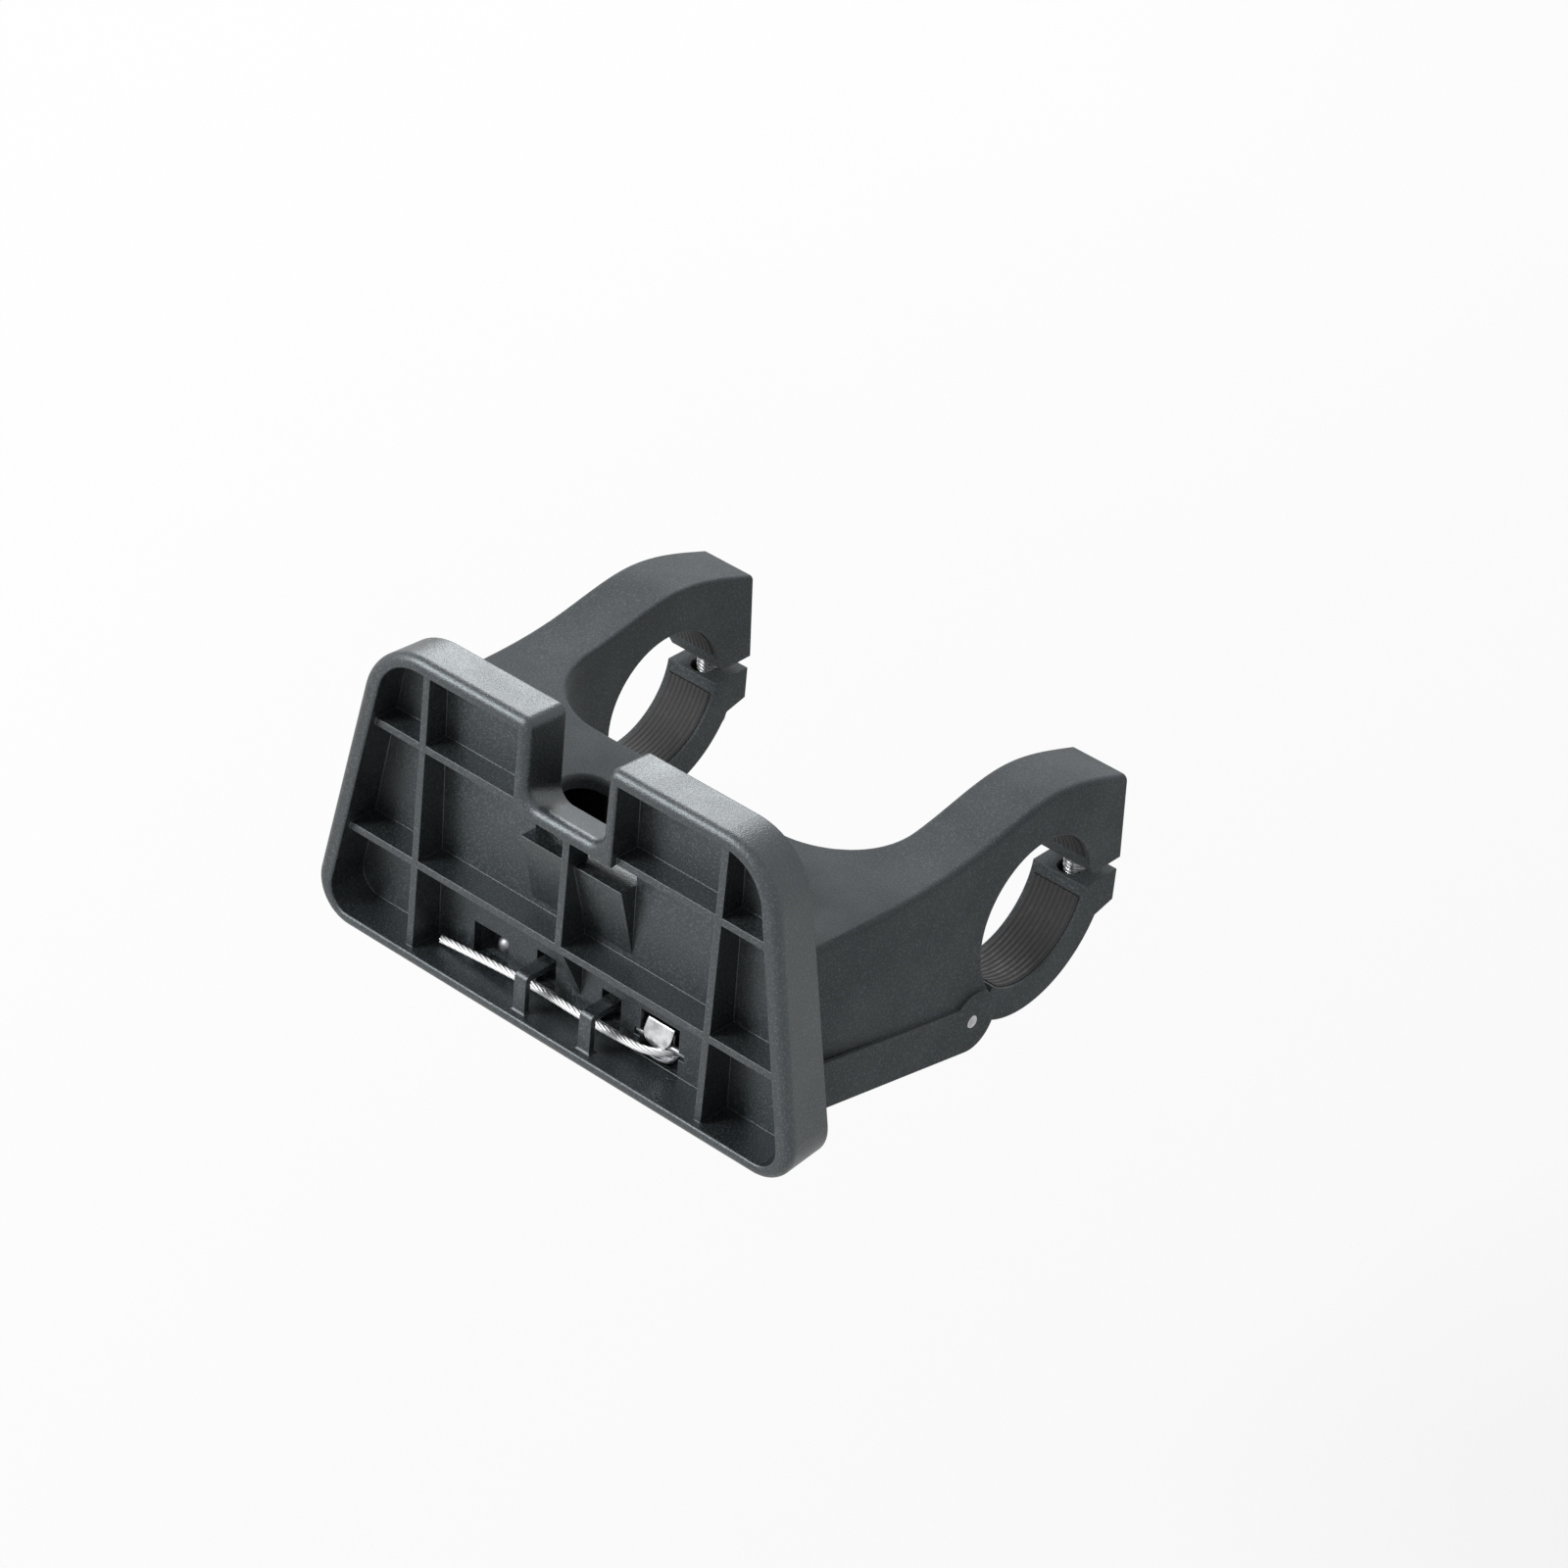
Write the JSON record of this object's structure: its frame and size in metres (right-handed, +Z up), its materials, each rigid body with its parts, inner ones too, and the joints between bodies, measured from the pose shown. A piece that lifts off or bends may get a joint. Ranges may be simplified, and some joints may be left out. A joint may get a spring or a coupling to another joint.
{
  "type": "bicycle handlebar bag mount",
  "caption": "Handlebar bag mount: a ribbed, notched trapezoid plate on a forked yoke that clamps round the bar with hinged jaws, with a steel safety cable.",
  "frame": {"origin": "centre of the clamped tube, midway between the two arms", "axes": "+X along the tube to the right arm seen from the front, -Y towards the bag plate's face, +Z up"},
  "size_m": [0.1206, 0.1013, 0.0667],
  "materials": {
    "black_plastic": "fine grained",
    "steel": "zinc plated",
    "bright_steel": "polished",
    "cable_steel": "stranded",
    "rubber": "matte"
  },
  "bodies": {
    "mount": {"mount_body": "black_plastic", "left_hinge_pin": "steel", "right_hinge_pin": "steel", "left_square_nut": "steel", "right_square_nut": "steel", "left_upper_liner": "rubber", "right_upper_liner": "rubber", "steel_cable": "cable_steel", "cable_ball_end": "bright_steel", "cable_clip": "bright_steel", "clip_pin": "bright_steel"},
    "left_jaw": {"left_clamp_jaw": "black_plastic", "left_lower_liner": "rubber"},
    "right_jaw": {"right_clamp_jaw": "black_plastic", "right_lower_liner": "rubber"},
    "left_bolt": {"left_clamp_bolt": "steel", "left_bolt_washer": "steel"},
    "right_bolt": {"right_clamp_bolt": "steel", "right_bolt_washer": "steel"}
  },
  "joints": [
    {"name": "left_jaw_hinge", "type": "hinge", "parent": "mount", "child": "left_jaw", "pos_m": [-0.04735, -0.017, -0.0166], "axis": [-1, 0, 0], "range_deg": [0, 7]},
    {"name": "right_jaw_hinge", "type": "hinge", "parent": "mount", "child": "right_jaw", "pos_m": [0.04735, -0.017, -0.0166], "axis": [-1, 0, 0], "range_deg": [0, 7]},
    {"name": "left_bolt_slide", "type": "slide", "parent": "mount", "child": "left_bolt", "axis": [0, 0, -1], "range_m": [0, 0.0054]},
    {"name": "right_bolt_slide", "type": "slide", "parent": "mount", "child": "right_bolt", "axis": [0, 0, -1], "range_m": [0, 0.0054]}
  ],
  "couplings": [
    {"joint": "left_bolt_slide", "follows": "left_jaw_hinge", "m_per_rad": 0.044},
    {"joint": "right_bolt_slide", "follows": "right_jaw_hinge", "m_per_rad": 0.044}
  ]
}
